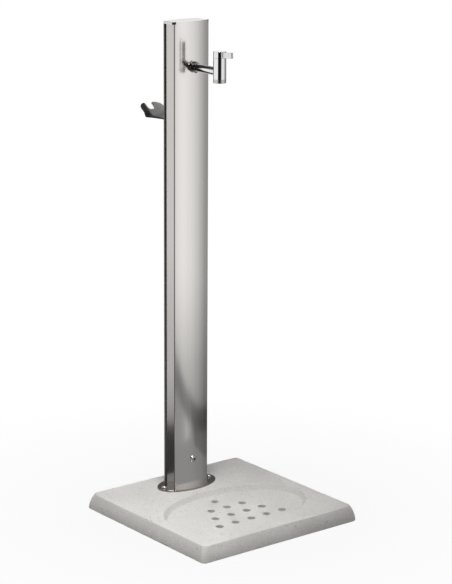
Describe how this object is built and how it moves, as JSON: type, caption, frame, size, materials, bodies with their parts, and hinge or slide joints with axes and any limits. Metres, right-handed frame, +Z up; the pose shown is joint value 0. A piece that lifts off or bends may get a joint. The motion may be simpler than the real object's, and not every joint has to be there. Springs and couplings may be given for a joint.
{
  "type": "garden standpipe",
  "caption": "Free-standing garden water column with a quarter-turn tap over a drained concrete basin slab and a hose hook at the back.",
  "frame": {"origin": "middle of the slab's underside", "axes": "+Z up along the column; the tap points along -Y and the hose hook along +Y; +X is to the right seen from the front"},
  "size_m": [0.3998, 0.4538, 1.0105],
  "materials": {
    "concrete": "cast concrete, fine pores",
    "brushed_shell": "brushed along its length",
    "core_metal": "satin",
    "foot_steel": "polished",
    "screw_steel": "polished",
    "chrome": "mirror",
    "satin_chrome": "satin",
    "hook_steel": "grey, fine speckle",
    "brass": "machined",
    "pipe_steel": "drawn",
    "rubber": "matte",
    "ceramic": "lapped",
    "plastic": "moulded"
  },
  "bodies": {
    "stand": {"base_slab": "concrete", "front_shell": "brushed_shell", "rear_shell": "brushed_shell", "column_core": "core_metal", "top_cap": "core_metal", "foot_plate": "foot_steel", "foot_spigot": "foot_steel", "foot_screws": "screw_steel", "lock_screw": "screw_steel", "lock_nut": "screw_steel", "hook_screws": "screw_steel", "hook_nuts": "screw_steel", "anchor_sleeves": "screw_steel", "rosette": "chrome", "union_nut": "chrome", "tap_arm": "chrome", "tap_body": "chrome", "outlet_ring": "satin_chrome", "hook_bracket": "hook_steel", "supply_elbow": "brass", "back_nut": "brass", "inlet_nipple": "brass", "tap_elbow": "brass", "wall_nut": "brass", "valve_sleeve": "brass", "gland_nut": "brass", "riser_pipe": "pipe_steel", "strainer": "pipe_steel", "inlet_gasket": "rubber", "outlet_gasket": "rubber", "valve_seal": "rubber", "spindle_ring": "rubber", "fixed_disc": "ceramic", "pipe_guides": "plastic", "corner_plugs": "plastic"},
    "handle": {"knob": "chrome", "lever_blade": "chrome", "grub_screw": "screw_steel", "spindle": "brass", "turning_disc": "ceramic"}
  },
  "joints": [
    {"name": "lever_turn", "type": "hinge", "parent": "stand", "child": "handle", "pos_m": [0, 0.0125, 0.954], "axis": [0, 0, 1], "range_deg": [0, 90]}
  ]
}
